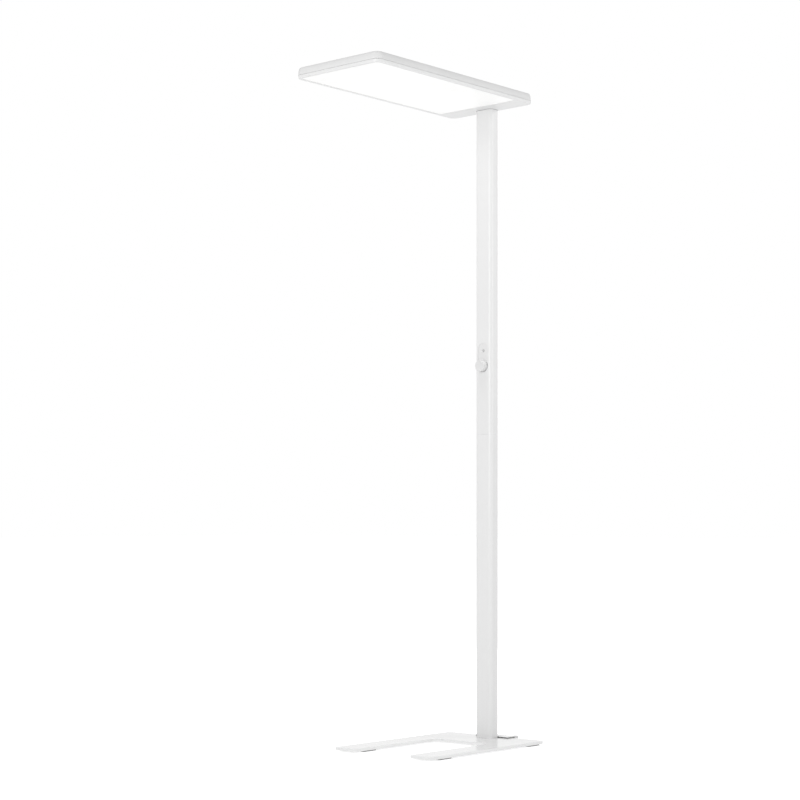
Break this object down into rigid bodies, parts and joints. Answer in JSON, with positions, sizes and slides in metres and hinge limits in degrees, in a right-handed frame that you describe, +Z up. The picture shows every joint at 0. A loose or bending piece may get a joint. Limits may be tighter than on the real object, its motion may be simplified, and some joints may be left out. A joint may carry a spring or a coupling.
{
  "type": "office floor lamp",
  "caption": "Upright lamp with a flat U-shaped foot, a slim rectangular column with a push-and-turn dimmer, and a long thin cantilevered head that lights down and up.",
  "frame": {"origin": "on the floor, at the middle of the bounding box in plan", "axes": "+Z up; -Y is the front, the way the knob, the two legs and the head point; +X to the right seen from the front's rear, so X runs across the head"},
  "size_m": [0.372, 0.7494, 1.95],
  "materials": {
    "white_coat": "satin",
    "white_plastic": "satin",
    "control_plastic": "satin",
    "pale_plastic": "matte",
    "black_plastic": "matte",
    "grey_plastic": "satin",
    "dark_rubber": "matte",
    "zinc_steel": "satin",
    "bright_steel": "satin",
    "raw_aluminium": "satin",
    "cast_aluminium": "rough",
    "white_sheet": "matte",
    "light_board": "satin",
    "circuit_board": "glossy",
    "driver_case": "matte",
    "black_jacket": "matte",
    "white_jacket": "matte",
    "sensor_lens": "glossy",
    "satin_cover": "satin",
    "opal_panel": "satin"
  },
  "bodies": {
    "lamp": {"base_plate": "white_coat", "pad_carriers": "pale_plastic", "rubber_pads": "dark_rubber", "foot_spigot": "raw_aluminium", "foot_screws": "zinc_steel", "cord_entry_box": "black_plastic", "cord_entry_cover": "white_plastic", "cord_gland": "grey_plastic", "terminal_block": "pale_plastic", "supply_lead": "black_jacket", "lower_column": "white_coat", "column_coupler": "raw_aluminium", "upper_column": "white_coat", "column_screws": "zinc_steel", "control_carrier": "black_plastic", "control_plate": "control_plastic", "control_board": "circuit_board", "sensor_lens": "sensor_lens", "sensor_module": "black_plastic", "encoder_body": "black_plastic", "encoder_nut": "zinc_steel", "neck_gasket": "dark_rubber", "neck_collar": "white_plastic", "head_bracket": "cast_aluminium", "bracket_screws": "zinc_steel", "head_frame": "white_coat", "diffuser_panel": "opal_panel", "led_tray": "white_sheet", "downlight_boards": "light_board", "uplight_boards": "light_board", "top_shell": "white_coat", "uplight_cover": "satin_cover", "led_drivers": "driver_case", "driver_connector": "pale_plastic", "driver_links": "white_jacket", "led_leads": "white_jacket"},
    "push_stem": {"switch_plunger": "pale_plastic"},
    "dial": {"knob": "control_plastic", "knob_shaft": "bright_steel"}
  },
  "joints": [
    {"name": "knob_push", "type": "slide", "parent": "lamp", "child": "push_stem", "axis": [0, 1, 0], "range_m": [0, 0.0008], "stiffness_N_per_m": 1500, "springref_m": -0.0004},
    {"name": "knob_turn", "type": "hinge", "parent": "push_stem", "child": "dial", "pos_m": [0, 0.28275, 1.1415], "axis": [0, 1, 0], "continuous": true}
  ]
}
